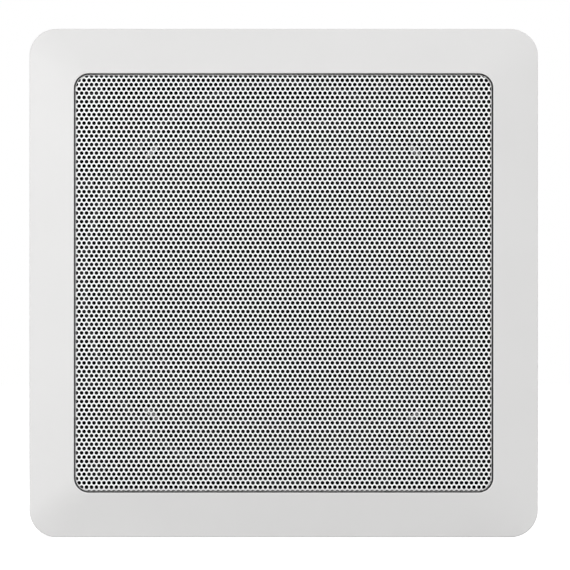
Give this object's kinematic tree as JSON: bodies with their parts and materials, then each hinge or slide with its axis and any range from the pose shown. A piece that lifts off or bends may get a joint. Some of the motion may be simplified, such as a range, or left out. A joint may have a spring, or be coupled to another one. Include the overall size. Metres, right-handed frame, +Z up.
{
  "type": "in wall speaker",
  "caption": "Square flush wall speaker: sloped white bezel, perforated steel grille, cone driver on a baffle behind it, and corner clamps that swing out to grip the wall panel.",
  "frame": {"origin": "centre of the wall cut-out on the wall face, which is the plane of the flange's rear face", "axes": "+X to the right seen from the room, +Y into the wall, +Z up"},
  "size_m": [0.205, 0.076, 0.205],
  "materials": {
    "white_plastic": "satin moulded ABS",
    "white_steel": "white powder coat",
    "black_plastic": "matt moulded ABS",
    "black_steel": "black coat on pressed steel",
    "zinc_steel": "bright zinc plate",
    "black_screw": "black oxide",
    "foam": "closed cell foam rubber",
    "surround_rubber": "butyl rubber",
    "cone_paper": "black pressed pulp",
    "spider_cloth": "resin dipped cotton",
    "former_paper": "kraft paper",
    "copper_wire": "enamelled copper",
    "plated_plate": "zinc plated steel",
    "ferrite": "pressed ferrite",
    "fibre_board": "phenolic board",
    "tinned_brass": "tinned",
    "insert_brass": "turned",
    "arm_plastic": "glass filled nylon"
  },
  "bodies": {
    "frame": {"bezel": "white_plastic", "baffle": "black_plastic", "baffle_screws": "black_screw", "mounting_gasket": "foam", "basket": "black_steel", "driver_screws": "zinc_steel", "front_gasket": "foam", "surround": "surround_rubber", "spider": "spider_cloth", "top_plate": "plated_plate", "magnet": "ferrite", "yoke": "plated_plate", "terminal_board": "fibre_board", "terminal_tag_positive": "tinned_brass", "terminal_tag_negative": "tinned_brass", "terminal_rivets": "tinned_brass"},
    "grille": {"grille": "white_steel"},
    "cone_assembly": {"cone": "cone_paper", "dust_cap": "cone_paper", "voice_coil_former": "former_paper", "voice_coil": "copper_wire"},
    "clamp_screw_top": {"clamp_screw_top": "black_screw"},
    "clamp_insert_top": {"clamp_insert_top": "insert_brass"},
    "clamp_arm_top": {"clamp_arm_top": "arm_plastic"},
    "clamp_screw_right": {"clamp_screw_right": "black_screw"},
    "clamp_insert_right": {"clamp_insert_right": "insert_brass"},
    "clamp_arm_right": {"clamp_arm_right": "arm_plastic"},
    "clamp_screw_bottom": {"clamp_screw_bottom": "black_screw"},
    "clamp_insert_bottom": {"clamp_insert_bottom": "insert_brass"},
    "clamp_arm_bottom": {"clamp_arm_bottom": "arm_plastic"},
    "clamp_screw_left": {"clamp_screw_left": "black_screw"},
    "clamp_insert_left": {"clamp_insert_left": "insert_brass"},
    "clamp_arm_left": {"clamp_arm_left": "arm_plastic"}
  },
  "joints": [
    {"name": "grille_pull", "type": "slide", "parent": "frame", "child": "grille", "axis": [0, -1, 0], "range_m": [0, 0.06]},
    {"name": "cone_travel", "type": "slide", "parent": "frame", "child": "cone_assembly", "axis": [0, 1, 0], "range_m": [-0.003, 0.003], "stiffness_N_per_m": 1200, "deforming": ["surround", "spider"]},
    {"name": "clamp_top_turn", "type": "hinge", "parent": "frame", "child": "clamp_screw_top", "pos_m": [0.076, 0.007, 0.076], "axis": [0, 1, 0], "range_deg": [0, 7200]},
    {"name": "clamp_top_travel", "type": "slide", "parent": "frame", "child": "clamp_insert_top", "axis": [0, -1, 0], "range_m": [0, 0.028]},
    {"name": "clamp_top_swing", "type": "hinge", "parent": "clamp_insert_top", "child": "clamp_arm_top", "pos_m": [0.076, 0.0404, 0.076], "axis": [0, 1, 0], "range_deg": [0, 90]},
    {"name": "clamp_right_turn", "type": "hinge", "parent": "frame", "child": "clamp_screw_right", "pos_m": [0.076, 0.007, -0.076], "axis": [0, 1, 0], "range_deg": [0, 7200]},
    {"name": "clamp_right_travel", "type": "slide", "parent": "frame", "child": "clamp_insert_right", "axis": [0, -1, 0], "range_m": [0, 0.028]},
    {"name": "clamp_right_swing", "type": "hinge", "parent": "clamp_insert_right", "child": "clamp_arm_right", "pos_m": [0.076, 0.0404, -0.076], "axis": [0, 1, 0], "range_deg": [0, 90]},
    {"name": "clamp_bottom_turn", "type": "hinge", "parent": "frame", "child": "clamp_screw_bottom", "pos_m": [-0.076, 0.007, -0.076], "axis": [0, 1, 0], "range_deg": [0, 7200]},
    {"name": "clamp_bottom_travel", "type": "slide", "parent": "frame", "child": "clamp_insert_bottom", "axis": [0, -1, 0], "range_m": [0, 0.028]},
    {"name": "clamp_bottom_swing", "type": "hinge", "parent": "clamp_insert_bottom", "child": "clamp_arm_bottom", "pos_m": [-0.076, 0.0404, -0.076], "axis": [0, 1, 0], "range_deg": [0, 90]},
    {"name": "clamp_left_turn", "type": "hinge", "parent": "frame", "child": "clamp_screw_left", "pos_m": [-0.076, 0.007, 0.076], "axis": [0, 1, 0], "range_deg": [0, 7200]},
    {"name": "clamp_left_travel", "type": "slide", "parent": "frame", "child": "clamp_insert_left", "axis": [0, -1, 0], "range_m": [0, 0.028]},
    {"name": "clamp_left_swing", "type": "hinge", "parent": "clamp_insert_left", "child": "clamp_arm_left", "pos_m": [-0.076, 0.0404, 0.076], "axis": [0, 1, 0], "range_deg": [0, 90]}
  ],
  "couplings": [
    {"joint": "clamp_top_turn", "follows": "clamp_top_travel", "rad_per_m": 4488},
    {"joint": "clamp_right_turn", "follows": "clamp_right_travel", "rad_per_m": 4488},
    {"joint": "clamp_bottom_turn", "follows": "clamp_bottom_travel", "rad_per_m": 4488},
    {"joint": "clamp_left_turn", "follows": "clamp_left_travel", "rad_per_m": 4488}
  ]
}
